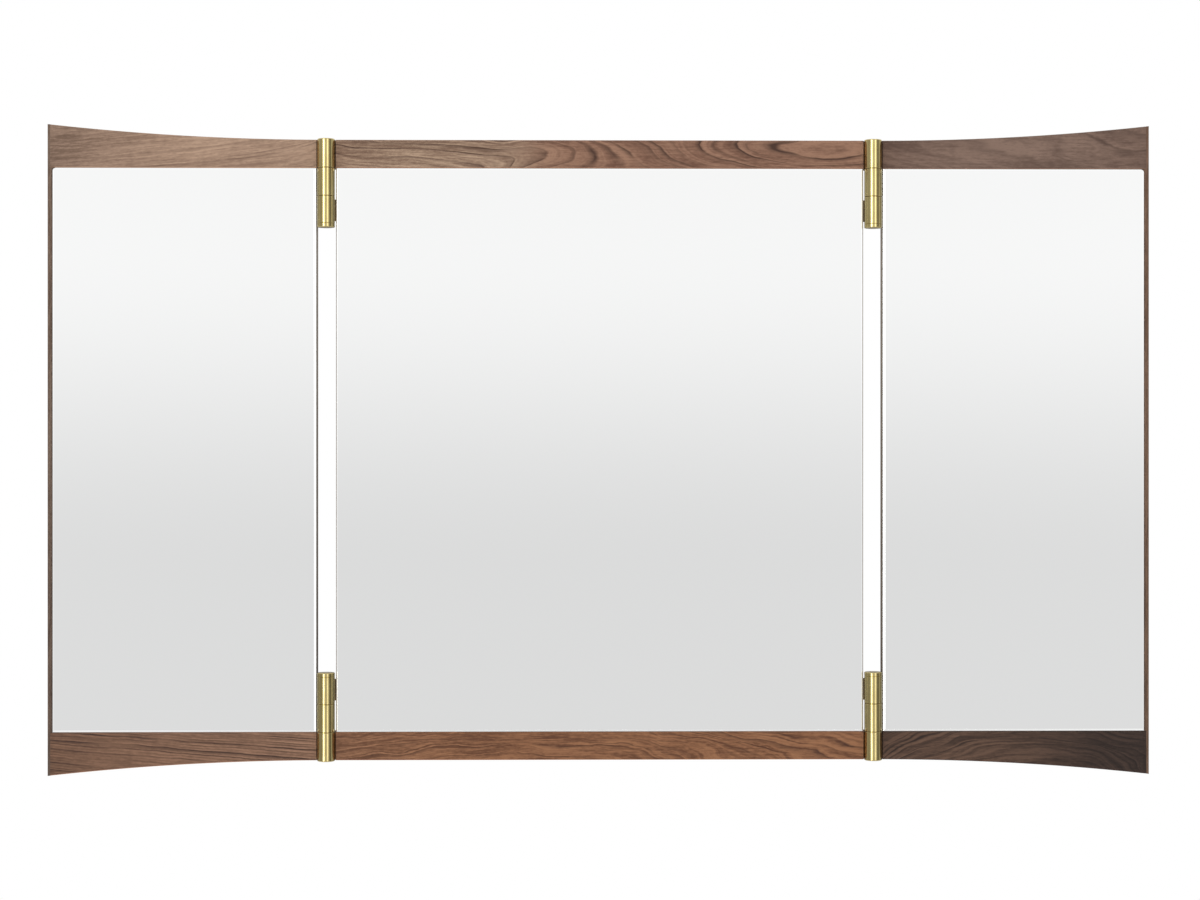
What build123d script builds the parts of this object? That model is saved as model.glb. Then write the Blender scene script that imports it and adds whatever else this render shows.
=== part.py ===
from build123d import *
import os

# Three-panel folding wall mirror: a centre panel that hangs on the wall and two wings
# on brass barrel hinges. Millimetres, +X to the viewer's right, +Z up, front towards -Y.
# The origin lies on the wall, at the middle of the wall rail's line of screw holes.

# Panels
centre_w = 575.0            # width of the centre panel
wing_w = 291.5              # width of each wing
panel_gap = 21.0            # gap between the centre panel and a wing
panel_h = 675.0             # height of the panels at the hinges
flare = 16.5                # rise of a wing's top and bottom edge at its outer end
panel_t = 19.0              # thickness of the wood, front to back
rail_h = 30.5               # height of the top and bottom rails at the hinges
rail_end_gap = 1.6          # gap between two rails' ends, behind a hinge barrel
wood_arris = 0.6            # eased front arris of the rails and stiles
panel_drop = 200.0          # from the wall screws down to the panels' middle

# Mirror panes and the tape behind them
pane_t = 4.0
pane_sunk = 0.5             # pane's face below the wood's face
pane_bevel_w = 2.2          # bevelled edge of the pane, seen from the front
pane_bevel_d = 0.6
pane_play = 0.2             # gap between a pane and the wood round it
pane_corner = 3.0           # rounded top outer corner of a wing's pane
tape_t = 1.0
tape_w = 24.0
tape_in = 36.0              # end strips' middles from the panel's ends
tape_step = 130.0           # largest spacing of the strips
tape_short = 22.0           # tape stops this far from the pane's top and bottom

# Boards, edge strips and stiles
edge_t = 1.2                # strip on a board's hinge edge
stile_t = 2.9               # full-height strip on a wing's outer end
stile_lip = 1.6             # lip of that strip beside the pane
lap_t = 7.0                 # board's tongue behind a rail
lap_h = 14.0

# Hinges
barrel_d = 19.0
barrel_proud = 0.8          # barrel's outer end beyond the rail's edge
barrel_round = 0.9
knuckle_chamfer = 0.25
wing_knuckle_h = 30.0
inner_knuckle_h = 29.5
cap_h = 4.5
cap_groove = 0.35
cap_stem_h = 5.0
washer_t = 0.5
washer_inset = 0.25
pin_d = 6.0
pin_fixed_play = 0.02       # radial play in the fixed knuckles
pin_run_play = 0.05         # radial play in the wing's knuckle
pin_end_play = 0.5
pin_blind = 7.0             # metal left over the pin in the outer knuckle
leaf_t = 2.5
leaf_reach = 36.0           # leaf's far edge from the barrel's axis
wing_leaf_h = 42.0
neck_h = 23.5
leaf_play = 0.1

# Screws
hinge_screw_d = 4.0
hinge_screw_head_d = 7.6
hinge_screw_in = 24.0       # hinge screws from the barrel's axis
hinge_screw_edge = 9.5      # hinge screws from a leaf's end
board_screw_d = 3.5
board_screw_head_d = 6.8
board_screw_l = 16.0
board_screw_in = 60.0       # end board screws from the panel's end
board_screw_step = 105.0    # largest spacing of the board screws
hang_screw_d = 4.0
hang_screw_head_d = 8.0
hang_screw_head_h = 2.4
hang_screw_l = 11.0
hang_screw_round = 1.0
recess_share = 0.55         # cross recess, as a share of the head
recess_w = 0.9
recess_deep = 1.3
screw_play = 0.1
thread_play = 0.05

# Hanging rails and wall bumpers
wall_gap = 8.0              # from the wall to the panels' backs
profile_t = 2.0             # wall of both hooked profiles
profile_plate_h = 30.0      # wall rail's plate, centred on its screw holes
hook_h = 12.0               # height of the hooked lips
hook_play = 0.3             # between the hooked lips
hang_rail_w = 420.0
hang_screw_in = 20.0        # end screws from the hanging rail's ends
hang_screw_step = 95.0      # largest spacing of its screws
hang_back_gap = 0.7         # from the wall to the hanging rail's lip
wall_rail_w = 400.0
wall_hole_d = 5.0
wall_hole_n = 4
wall_hole_step = 110.0
bumper_d = 18.0
bumper_round = 1.5
bumper_in = 32.0            # bumpers' middles from the panel's ends and edges

# Places worked out from the sizes above
half_w = centre_w / 2
half_h = panel_h / 2
pane_zone = half_h - rail_h
axis_x = half_w + panel_gap / 2
wing_in = half_w + panel_gap
wing_out = wing_in + wing_w
tip_h = half_h + flare
back = wall_gap
front = wall_gap + panel_t
pane_front = front - pane_sunk
pane_back = pane_front - pane_t
board_front = pane_back - tape_t
board_t = board_front - back
barrel_r = barrel_d / 2
cove_r = panel_gap / 2
pin_r = pin_d / 2
leaf_back = board_front - leaf_t
rail_end = axis_x - rail_end_gap / 2
stile_in = wing_out - stile_t
lip_in = stile_in - stile_lip
hang_lip_back = hang_back_gap
wall_lip_back = hang_lip_back + profile_t + hook_play
wall_plate_top = profile_plate_h / 2
wall_lip_top = wall_plate_top + hook_h
hang_screw_z = wall_lip_top + profile_t / 2 + profile_plate_h / 2 + panel_drop

# Heights of the hinge's parts above the panels' middle, from the outer end inwards
outer_end = half_h + barrel_proud
outer_joint = pane_zone
wing_top = outer_joint - washer_t
wing_joint = wing_top - wing_knuckle_h
inner_top = wing_joint - washer_t
inner_joint = inner_top - inner_knuckle_h
cap_end = inner_joint - cap_h
outer_neck = (half_h + pane_zone) / 2
wing_neck = (wing_top + wing_joint) / 2
inner_neck = (inner_top + inner_joint) / 2
fixed_leaf_ends = (inner_neck - neck_h / 2, outer_neck + neck_h / 2)
wing_leaf_ends = (wing_neck + neck_h / 2 - wing_leaf_h, wing_neck + neck_h / 2)
hinge_screw_x = axis_x - hinge_screw_in
wing_screw_x = axis_x + hinge_screw_in

# Solids that hang below or stand above the plane they are placed on
below = (Align.CENTER, Align.CENTER, Align.MAX)
above = (Align.CENTER, Align.CENTER, Align.MIN)

os.makedirs("parts", exist_ok=True)


def save(piece, name):
    piece.part.label = name
    export_step(piece.part, "parts/" + name + ".step")


def depth(d):
    # Upright plane facing the viewer, d in front of the wall, centred on the panels' middle.
    return Plane(origin=(0, 0, -panel_drop), x_dir=(1, 0, 0), z_dir=(0, -1, 0)).offset(d)


def level(z):
    # Flat plane at height z above the panels' middle.
    return Plane.XY.offset(z - panel_drop)


def rear(x, z, d=back):
    # Plane that looks out of a panel's back at one spot.
    return Plane(origin=(x, -d, z - panel_drop), x_dir=(-1, 0, 0), z_dir=(0, 1, 0))


def block(x0, x1, z0, z1, mode=Mode.ADD):
    # Rectangle between two widths and two heights, inside an open sketch.
    with Locations(((x0 + x1) / 2, (z0 + z1) / 2)):
        Rectangle(abs(x1 - x0), abs(z1 - z0), mode=mode)


def spread(length, inset, step):
    # Even positions along a length, inset from both ends and no further apart than step.
    run = length - 2 * inset
    count = max(int(run // step) + 2, 2)
    return [inset + run * i / (count - 1) - length / 2 for i in range(count)]


def wing_outline(side):
    # A wing seen from the front: its long edges are arcs that leave the hinge level.
    hinge = side * (axis_x + rail_end_gap / 2)
    tip = side * wing_out
    with BuildLine() as outline:
        TangentArc((hinge, -half_h), (tip, -tip_h), tangent=(side, 0))
        Line((tip, -tip_h), (tip, tip_h))
        TangentArc((hinge, half_h), (tip, tip_h), tangent=(side, 0))
        Line((hinge, half_h), (hinge, -half_h))
    make_face(outline.edges())


def cove(side):
    # Hollow in a rail's end, round the hinge barrel.
    with BuildSketch(level(-tip_h)) as hollow:
        with Locations((side * axis_x, -front)):
            Circle(cove_r)
    extrude(hollow.sketch, amount=2 * tip_h, mode=Mode.SUBTRACT)


def front_edges(wanted):
    # Edges of the open part that lie in the panels' front face and pass a test.
    flat = edges().filter_by(lambda e: abs(e.bounding_box().min.Y + front) < 0.01)
    flat = flat.filter_by(lambda e: abs(e.bounding_box().max.Y + front) < 0.01)
    return flat.filter_by(wanted)


def lies_along(edge):
    # A rail's long edge, level or on the flare.
    size = edge.bounding_box().size
    return size.X > 50 and size.X > size.Z


def leaf_slot(hinge_x, far_x, low, high):
    # Pocket for a hinge leaf, from the hinge edge inwards, open towards the pane.
    with BuildSketch(depth(leaf_back - leaf_play)) as slot:
        block(hinge_x, far_x, low, high)
    extrude(slot.sketch, amount=leaf_t + 2 * leaf_play, mode=Mode.SUBTRACT)


def sunk_hole(x, z, d, head_d, deep):
    # Countersunk hole from a panel's back.
    with Locations(rear(x, z)):
        CounterSinkHole(d / 2 + screw_play, head_d / 2 + screw_play, deep, counter_sink_angle=90)


def lap_screw_places(x_from, x_to):
    # Board screws along one rail's tongue.
    middle = (x_from + x_to) / 2
    steps = spread(abs(x_to - x_from), board_screw_in, board_screw_step)
    return [middle + x for x in steps]


centre_board_x = half_w - edge_t
wing_board_in = wing_in + edge_t
fixed_far = axis_x - leaf_reach
wing_far = axis_x + leaf_reach
rail_screw_z = (pane_zone + lap_h + half_h) / 2
inner_screw_z = fixed_leaf_ends[0] + hinge_screw_edge
wing_screws_z = (wing_leaf_ends[0] + hinge_screw_edge, wing_leaf_ends[1] - hinge_screw_edge)
lap_screw_z = pane_zone + lap_h / 2
centre_lap_x = lap_screw_places(-half_w, half_w)
wing_lap_x = lap_screw_places(wing_in, wing_out)
hang_screws_x = spread(hang_rail_w, hang_screw_in, hang_screw_step)


def lap_rebate(x_from, x_to, screws_x, end):
    # Rebate in a rail's back for the board's tongue, with the board screws' pilot holes.
    with BuildSketch(depth(back)) as rebate:
        block(x_from, x_to, end * pane_zone, end * (pane_zone + lap_h))
    extrude(rebate.sketch, amount=lap_t, mode=Mode.SUBTRACT)
    for x in screws_x:
        with Locations(rear(x, end * lap_screw_z, back + lap_t)):
            Hole(board_screw_d / 2 + thread_play, board_screw_l - lap_t + screw_play)


# Rails of the centre panel, each end hollowed round its hinge barrel
for end, name in ((1, "centre_top_rail"), (-1, "centre_bottom_rail")):
    with BuildPart() as rail:
        with BuildSketch(depth(back)):
            block(-rail_end, rail_end, end * pane_zone, end * half_h)
        extrude(amount=panel_t)
        chamfer(front_edges(lies_along), wood_arris)
        for side in (-1, 1):
            cove(side)
        lap_rebate(-centre_board_x, centre_board_x, centre_lap_x, end)
        for side in (-1, 1):
            slot_top = end * (fixed_leaf_ends[1] + leaf_play)
            leaf_slot(side * axis_x, side * (fixed_far - leaf_play), end * pane_zone, slot_top)
            sunk_hole(side * hinge_screw_x, end * rail_screw_z, hinge_screw_d,
                      hinge_screw_head_d, leaf_back - back)
    save(rail, name)

# Rails of the wings, with the flare along their outer edge
for side, wing in ((-1, "left_wing"), (1, "right_wing")):
    for end, place in ((1, "_top_rail"), (-1, "_bottom_rail")):
        with BuildPart() as rail:
            with BuildSketch(depth(back)):
                wing_outline(side)
                block(side * axis_x, side * stile_in, end * pane_zone, end * 2 * tip_h,
                      mode=Mode.INTERSECT)
            extrude(amount=panel_t)
            chamfer(front_edges(lies_along), wood_arris)
            cove(side)
            lap_rebate(side * wing_board_in, side * stile_in,
                       [side * x for x in wing_lap_x], end)
        save(rail, wing + place)

# Back board of the centre panel: full thickness between the rails, a tongue behind each
with BuildPart() as board:
    with BuildSketch(depth(back)):
        block(-centre_board_x, centre_board_x, -pane_zone - lap_h, pane_zone + lap_h)
    extrude(amount=lap_t)
    with BuildSketch(depth(back)):
        block(-centre_board_x, centre_board_x, -pane_zone, pane_zone)
    extrude(amount=board_t)
    for side in (-1, 1):
        for end in (-1, 1):
            leaf_slot(side * axis_x, side * (fixed_far - leaf_play),
                      end * (fixed_leaf_ends[0] - leaf_play), end * pane_zone)
            sunk_hole(side * hinge_screw_x, end * inner_screw_z, hinge_screw_d,
                      hinge_screw_head_d, leaf_back - back)
    for end in (-1, 1):
        for x in centre_lap_x:
            sunk_hole(x, end * lap_screw_z, board_screw_d, board_screw_head_d, lap_t)
    for x in hang_screws_x:
        with Locations(rear(x, hang_screw_z)):
            Hole(hang_screw_d / 2 + thread_play, hang_screw_l - profile_t + screw_play)
save(board, "centre_back_board")

# Back boards of the wings
for side, wing in ((-1, "left_wing"), (1, "right_wing")):
    with BuildPart() as board:
        with BuildSketch(depth(back)):
            block(side * wing_board_in, side * stile_in, -pane_zone - lap_h, pane_zone + lap_h)
        extrude(amount=lap_t)
        with BuildSketch(depth(back)):
            block(side * wing_board_in, side * stile_in, -pane_zone, pane_zone)
        extrude(amount=board_t)
        for end in (-1, 1):
            leaf_slot(side * axis_x, side * (wing_far + leaf_play),
                      end * (wing_leaf_ends[0] - leaf_play), end * (wing_leaf_ends[1] + leaf_play))
            for z in wing_screws_z:
                sunk_hole(side * wing_screw_x, end * z, hinge_screw_d, hinge_screw_head_d,
                          leaf_back - back)
            for x in wing_lap_x:
                sunk_hole(side * x, end * lap_screw_z, board_screw_d, board_screw_head_d, lap_t)
    save(board, wing + "_back_board")


def edge_strip(name, x_from, x_to, neck):
    # Strip on a board's hinge edge, notched where the leaves' necks pass.
    with BuildPart() as strip:
        with BuildSketch(depth(back)):
            block(x_from, x_to, -pane_zone, pane_zone)
        extrude(amount=pane_back - back)
        with BuildSketch(depth(leaf_back - leaf_play)):
            for end in (-1, 1):
                block(x_from, x_to, end * (neck - neck_h / 2 - leaf_play),
                      end * (neck + neck_h / 2 + leaf_play))
        extrude(amount=panel_t, mode=Mode.SUBTRACT)
    save(strip, name)


edge_strip("centre_left_edge", -half_w, -centre_board_x, inner_neck)
edge_strip("centre_right_edge", centre_board_x, half_w, inner_neck)
edge_strip("left_wing_inner_edge", -wing_board_in, -wing_in, wing_neck)
edge_strip("right_wing_inner_edge", wing_in, wing_board_in, wing_neck)

# Outer stiles of the wings: a strip over the rails' ends and a lip beside the pane
for side, wing in ((-1, "left_wing"), (1, "right_wing")):
    lip_round = pane_corner + pane_play
    with BuildPart() as stile:
        with BuildSketch(depth(back)):
            wing_outline(side)
            block(side * stile_in, side * wing_out, -tip_h, tip_h, mode=Mode.INTERSECT)
        extrude(amount=panel_t)
        with BuildSketch(depth(board_front)):
            block(side * (lip_in - lip_round), side * lip_in, pane_zone - lip_round, pane_zone)
            with Locations((side * (lip_in - lip_round), pane_zone - lip_round)):
                Circle(lip_round, mode=Mode.SUBTRACT)
            block(side * lip_in, side * stile_in, -pane_zone, pane_zone)
        extrude(amount=front - board_front)
        chamfer(front_edges(lambda e: abs(e.center().X) > wing_out - 0.01), wood_arris)
    save(stile, wing + "_outer_stile")


def bevelled_pane(outline_x, rounded, name):
    # Mirror pane with a shallow bevel all round its face.
    with BuildPart() as pane:
        with BuildSketch(depth(pane_back)) as outline:
            block(outline_x[0], outline_x[1], pane_play - pane_zone, pane_zone - pane_play)
            if rounded:
                corner = outline.vertices().sort_by(lambda v: abs(v.X) + v.Z + v.Y)[-1]
                fillet(corner, pane_corner)
        extrude(amount=pane_t)
        face = faces().sort_by(Axis.Y)[0]
        chamfer(face.edges(), pane_bevel_w, pane_bevel_d, reference=face)
    save(pane, name)


bevelled_pane((-half_w + pane_play, half_w - pane_play), False, "centre_mirror")
bevelled_pane((-lip_in + pane_play, -wing_in - pane_play), True, "left_wing_mirror")
bevelled_pane((wing_in + pane_play, lip_in - pane_play), True, "right_wing_mirror")


def tape_strips(name, x_from, x_to):
    # Upright strips of double-sided foam tape between a board and its pane.
    middle = (x_from + x_to) / 2
    high = pane_zone - tape_short
    with BuildPart() as tape:
        with BuildSketch(depth(board_front)):
            for x in spread(abs(x_to - x_from), tape_in, tape_step):
                block(middle + x - tape_w / 2, middle + x + tape_w / 2, -high, high)
        extrude(amount=tape_t)
    save(tape, name)


tape_strips("centre_mirror_tape", -half_w, half_w)
tape_strips("left_wing_mirror_tape", -lip_in, -wing_in)
tape_strips("right_wing_mirror_tape", wing_in, lip_in)


def barrel(side, end, inner, outer, radius, mode=Mode.ADD):
    # Round length on a hinge's axis, between two heights from the middle.
    with BuildSketch(level(min(end * inner, end * outer))) as section:
        with Locations((side * axis_x, -front)):
            Circle(radius)
    extrude(section.sketch, amount=abs(outer - inner), mode=mode)


def barrel_ends(heights, end):
    # Full circles round the barrel at the given heights from the middle.
    wanted = [end * z - panel_drop for z in heights]
    rims = edges().filter_by(GeomType.CIRCLE).filter_by(lambda e: abs(e.radius - barrel_r) < 0.01)
    return rims.filter_by(lambda e: min(abs(e.center().Z - z) for z in wanted) < 0.01)


def hinge_fixed_leaf(name, side, end):
    # Leaf let into the centre panel, with the outer and the inner knuckle.
    plate_in = half_w - edge_t - leaf_play
    with BuildPart() as leaf:
        with BuildSketch(depth(leaf_back)):
            block(side * fixed_far, side * plate_in,
                  end * fixed_leaf_ends[0], end * fixed_leaf_ends[1])
            for neck in (inner_neck, outer_neck):
                block(side * plate_in, side * axis_x,
                      end * (neck - neck_h / 2), end * (neck + neck_h / 2))
        extrude(amount=leaf_t)
        barrel(side, end, outer_joint, outer_end, barrel_r)
        barrel(side, end, inner_joint, inner_top, barrel_r)
        barrel(side, end, outer_joint, outer_end - pin_blind, pin_r + pin_fixed_play, Mode.SUBTRACT)
        barrel(side, end, inner_joint, inner_top, pin_r + pin_fixed_play, Mode.SUBTRACT)
        for z in (rail_screw_z, inner_screw_z):
            with Locations(rear(side * hinge_screw_x, end * z, leaf_back)):
                Hole(hinge_screw_d / 2 + thread_play, leaf_t)
        fillet(barrel_ends([outer_end], end), barrel_round)
        chamfer(barrel_ends([outer_joint, inner_top, inner_joint], end), knuckle_chamfer)
    save(leaf, name)


def hinge_wing_leaf(name, side, end):
    # Leaf let into the wing, with the middle knuckle that turns on the pin.
    plate_in = wing_in + edge_t + leaf_play
    with BuildPart() as leaf:
        with BuildSketch(depth(leaf_back)):
            block(side * plate_in, side * wing_far, end * wing_leaf_ends[0], end * wing_leaf_ends[1])
            block(side * axis_x, side * plate_in, end * (wing_neck - neck_h / 2),
                  end * (wing_neck + neck_h / 2))
        extrude(amount=leaf_t)
        barrel(side, end, wing_joint, wing_top, barrel_r)
        barrel(side, end, wing_joint, wing_top, pin_r + pin_run_play, Mode.SUBTRACT)
        for z in wing_screws_z:
            with Locations(rear(side * wing_screw_x, end * z, leaf_back)):
                Hole(hinge_screw_d / 2 + thread_play, leaf_t)
        chamfer(barrel_ends([wing_joint, wing_top], end), knuckle_chamfer)
    save(leaf, name)


def hinge_pin(name, side, end):
    # Steel pin through the three knuckles.
    pin_inner = inner_joint + cap_stem_h + pin_end_play
    pin_outer = outer_end - pin_blind - pin_end_play
    with BuildPart() as pin:
        barrel(side, end, pin_inner, pin_outer, pin_r)
    save(pin, name)


def hinge_washers(name, side, end):
    # Two thin washers, one at each end of the wing's knuckle.
    with BuildPart() as washers:
        for low, high in ((wing_top, outer_joint), (inner_top, wing_joint)):
            barrel(side, end, low, high, barrel_r - washer_inset)
            barrel(side, end, low, high, pin_r + pin_run_play, Mode.SUBTRACT)
    save(washers, name)


def hinge_end_cap(name, side, end):
    # Cap with a stem in the inner knuckle's bore.
    with BuildPart() as cap:
        barrel(side, end, cap_end, inner_joint, barrel_r)
        fillet(barrel_ends([cap_end], end), barrel_round)
        chamfer(barrel_ends([inner_joint], end), cap_groove)
        barrel(side, end, inner_joint, inner_joint + cap_stem_h, pin_r)
    save(cap, name)


for side, side_name in ((-1, "left_"), (1, "right_")):
    for end, end_name in ((1, "top_"), (-1, "bottom_")):
        hinge = side_name + end_name + "hinge_"
        hinge_fixed_leaf(hinge + "fixed_leaf", side, end)
        hinge_wing_leaf(hinge + "wing_leaf", side, end)
        hinge_pin(hinge + "pin", side, end)
        hinge_washers(hinge + "washers", side, end)
        hinge_end_cap(hinge + "end_cap", side, end)


def sunk_screws(name, places, d, head_d, length):
    # Countersunk screws driven from the back, each head with a cross recess.
    head_h = (head_d - d) / 2
    with BuildPart() as screws:
        with Locations(*[rear(x, z) for x, z in places]):
            Cylinder(d / 2, length, align=below)
            Cone(d / 2, head_d / 2, head_h, align=below)
            Box(head_d * recess_share, recess_w, recess_deep, align=below, mode=Mode.SUBTRACT)
            Box(recess_w, head_d * recess_share, recess_deep, align=below, mode=Mode.SUBTRACT)
    save(screws, name)


ends = (-1, 1)
hinge_screw_l = board_front - back - screw_play
sunk_screws("centre_hinge_screws",
            [(side * hinge_screw_x, end * z) for side in ends for end in ends
             for z in (rail_screw_z, inner_screw_z)],
            hinge_screw_d, hinge_screw_head_d, hinge_screw_l)
sunk_screws("centre_board_screws",
            [(x, end * lap_screw_z) for end in ends for x in centre_lap_x],
            board_screw_d, board_screw_head_d, board_screw_l)
for side, wing in ((-1, "left_wing"), (1, "right_wing")):
    sunk_screws(wing + "_hinge_screws",
                [(side * wing_screw_x, end * z) for end in ends for z in wing_screws_z],
                hinge_screw_d, hinge_screw_head_d, hinge_screw_l)
    sunk_screws(wing + "_board_screws",
                [(side * x, end * lap_screw_z) for end in ends for x in wing_lap_x],
                board_screw_d, board_screw_head_d, board_screw_l)


def bumpers(name, places):
    # Rubber discs on the back that rest against the wall.
    with BuildPart() as discs:
        with Locations(*[rear(x, z) for x, z in places]):
            Cylinder(bumper_d / 2, wall_gap, align=above)
        fillet(edges().group_by(Axis.Y)[-1], bumper_round)
    save(discs, name)


bumper_x = half_w - bumper_in
bumper_z = pane_zone - bumper_in
bumpers("centre_wall_bumpers", [(-bumper_x, -bumper_z), (bumper_x, -bumper_z)])
for side, wing in ((-1, "left_wing"), (1, "right_wing")):
    wing_bumper_x = side * (wing_out - bumper_in)
    bumpers(wing + "_wall_bumpers", [(wing_bumper_x, -bumper_z), (wing_bumper_x, bumper_z)])


def profile_strip(d_from, d_to, z_from, z_to):
    # One leg of a hooked profile, seen along its length.
    with Locations((-(d_from + d_to) / 2, (z_from + z_to) / 2)):
        Rectangle(abs(d_to - d_from), abs(z_to - z_from))


# Wall rail: a plate on the wall and a hooked lip that stands up off it
with BuildPart() as wall_rail:
    with BuildSketch(Plane.YZ):
        profile_strip(0, profile_t, -profile_plate_h / 2, profile_plate_h / 2)
        profile_strip(0, wall_lip_back + profile_t, wall_plate_top - profile_t, wall_plate_top)
        profile_strip(wall_lip_back, wall_lip_back + profile_t, wall_plate_top - profile_t, wall_lip_top)
    extrude(amount=wall_rail_w / 2, both=True)
    with Locations(Plane(origin=(0, -profile_t, 0), x_dir=(1, 0, 0), z_dir=(0, -1, 0))):
        with GridLocations(wall_hole_step, 1, wall_hole_n, 1):
            Hole(wall_hole_d / 2, profile_t)
save(wall_rail, "wall_rail")

# Hanging rail: a plate on the centre board and a lip that hooks over the wall rail's lip
with BuildPart() as hanging_rail:
    with BuildSketch(Plane.YZ):
        profile_strip(wall_gap - profile_t, wall_gap, wall_lip_top, wall_lip_top + profile_plate_h)
        profile_strip(hang_lip_back, wall_gap, wall_lip_top, wall_lip_top + profile_t)
        profile_strip(hang_lip_back, hang_lip_back + profile_t, wall_lip_top + profile_t - hook_h,
                      wall_lip_top + profile_t)
    extrude(amount=hang_rail_w / 2, both=True)
    for x in hang_screws_x:
        with Locations(rear(x, hang_screw_z, wall_gap - profile_t)):
            Hole(hang_screw_d / 2 + screw_play, profile_t)
save(hanging_rail, "hanging_rail")

# Pan-head screws of the hanging rail
hang_seat = wall_gap - profile_t
hang_head_top = hang_seat - hang_screw_head_h
with BuildPart() as hang_screws:
    with Locations(*[rear(x, hang_screw_z, hang_seat) for x in hang_screws_x]):
        Cylinder(hang_screw_d / 2, hang_screw_l, align=below)
        Cylinder(hang_screw_head_d / 2, hang_screw_head_h, align=above)
    fillet(edges().filter_by(GeomType.CIRCLE).group_by(Axis.Y)[-1], hang_screw_round)
    with Locations(*[rear(x, hang_screw_z, hang_head_top) for x in hang_screws_x]):
        Box(hang_screw_head_d * recess_share, recess_w, recess_deep, align=below, mode=Mode.SUBTRACT)
        Box(recess_w, hang_screw_head_d * recess_share, recess_deep, align=below, mode=Mode.SUBTRACT)
save(hang_screws, "hanging_rail_screws")
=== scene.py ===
import math

import bpy
import numpy as np
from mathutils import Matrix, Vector


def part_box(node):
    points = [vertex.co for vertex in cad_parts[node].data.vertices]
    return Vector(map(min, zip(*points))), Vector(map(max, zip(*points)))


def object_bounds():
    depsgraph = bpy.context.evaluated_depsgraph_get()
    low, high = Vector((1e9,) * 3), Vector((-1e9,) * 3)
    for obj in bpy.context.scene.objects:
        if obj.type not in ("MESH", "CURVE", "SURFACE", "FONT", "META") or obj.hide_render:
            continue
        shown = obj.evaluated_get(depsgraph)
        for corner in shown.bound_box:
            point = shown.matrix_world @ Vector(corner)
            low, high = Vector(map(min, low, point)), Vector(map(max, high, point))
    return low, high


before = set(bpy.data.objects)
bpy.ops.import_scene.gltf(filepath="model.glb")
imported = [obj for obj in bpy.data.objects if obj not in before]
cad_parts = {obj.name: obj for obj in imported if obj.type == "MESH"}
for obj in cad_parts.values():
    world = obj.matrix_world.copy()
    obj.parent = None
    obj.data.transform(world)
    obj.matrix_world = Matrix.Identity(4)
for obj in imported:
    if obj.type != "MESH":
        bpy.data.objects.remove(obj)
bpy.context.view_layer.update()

# Sizes read from the frame, in metres
PANEL_MID = sum(corner.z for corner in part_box("centre_mirror")) / 2
WOOD_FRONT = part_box("centre_top_rail")[0].y
RAIL_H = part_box("centre_top_rail")[1].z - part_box("centre_top_rail")[0].z
cap_low, cap_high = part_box("right_top_hinge_end_cap")
BARREL_AXIS = (cap_low + cap_high) / 2
BARREL_R = (cap_high.x - cap_low.x) / 2


def tone(red, green, blue):
    """A colour written in the 0 to 255 steps of a paint card, as the linear values that a shader takes."""
    def linear(step):
        share = step / 255
        return share / 12.92 if share <= 0.04045 else ((share + 0.055) / 1.055) ** 2.4
    return (linear(red), linear(green), linear(blue), 1.0)


class Nodes:
    """Adds nodes to one node tree. An argument is a number, a colour, a vector or another node's socket."""

    def __init__(self, tree):
        self.tree = tree

    def put(self, socket, value):
        if isinstance(value, bpy.types.NodeSocket):
            self.tree.links.new(value, socket)
        else:
            socket.default_value = value

    def add(self, kind, inputs=(), **settings):
        node = self.tree.nodes.new(kind)
        for name, value in settings.items():
            setattr(node, name, value)
        for key, value in dict(inputs).items():
            self.put(node.inputs[key], value)
        return node

    def math(self, operation, first, second=0.0, clamp=False):
        node = self.add("ShaderNodeMath", {0: first, 1: second}, operation=operation, use_clamp=clamp)
        return node.outputs[0]

    def vector(self, operation, first, second=(0.0, 0.0, 0.0)):
        node = self.add("ShaderNodeVectorMath", {0: first, 1: second}, operation=operation)
        return node.outputs["Value" if operation == "LENGTH" else "Vector"]

    def split(self, vector):
        return self.add("ShaderNodeSeparateXYZ", {0: vector}).outputs

    def join(self, x, y, z):
        return self.add("ShaderNodeCombineXYZ", {0: x, 1: y, 2: z}).outputs[0]

    def blend(self, share, first, second):
        """Colour first where share is 0 and second where it is 1. A Mix node takes colours at inputs 6 and 7 and
        gives one at output 2."""
        node = self.add("ShaderNodeMix", {0: share, 6: first, 7: second}, data_type="RGBA")
        return node.outputs[2]

    def ramp(self, value, low, high, out_low=0.0, out_high=1.0):
        """Takes value from low..high to out_low..out_high by an S-shaped step, and holds it at the ends."""
        node = self.add("ShaderNodeMapRange", {0: value, 1: low, 2: high, 3: out_low, 4: out_high},
                        interpolation_type="SMOOTHSTEP")
        return node.outputs[0]

    def noise(self, vector, scale=1.0, detail=2.0, roughness=0.5, colour=False):
        """Noise about 0.5. Its lumps are about 1 / scale long."""
        node = self.add("ShaderNodeTexNoise", {"Vector": vector, "Scale": scale, "Detail": detail,
                                               "Roughness": roughness})
        return node.outputs["Color" if colour else "Fac"]

    def lumps(self, point, per_metre, **how):
        """Noise with about that many lumps to the metre along x, y and z."""
        return self.noise(self.vector("MULTIPLY", point, per_metre), **how)


def new_group(name, inputs, outputs):
    """A shader node group. Inputs are (name, kind, value) and outputs (name, kind), kind being Float, Color or
    Vector. Gives the group's Nodes, its input sockets by name and a function that connects an output."""
    tree = bpy.data.node_groups.new(name, "ShaderNodeTree")
    for label, kind, value in inputs:
        socket = tree.interface.new_socket(label, in_out="INPUT", socket_type="NodeSocket" + kind)
        socket.default_value = value
    for label, kind in outputs:
        tree.interface.new_socket(label, in_out="OUTPUT", socket_type="NodeSocket" + kind)
    nodes = Nodes(tree)
    entry = nodes.add("NodeGroupInput").outputs
    leave = nodes.add("NodeGroupOutput").inputs
    return nodes, entry, lambda label, value: nodes.put(leave[label], value)


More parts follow.
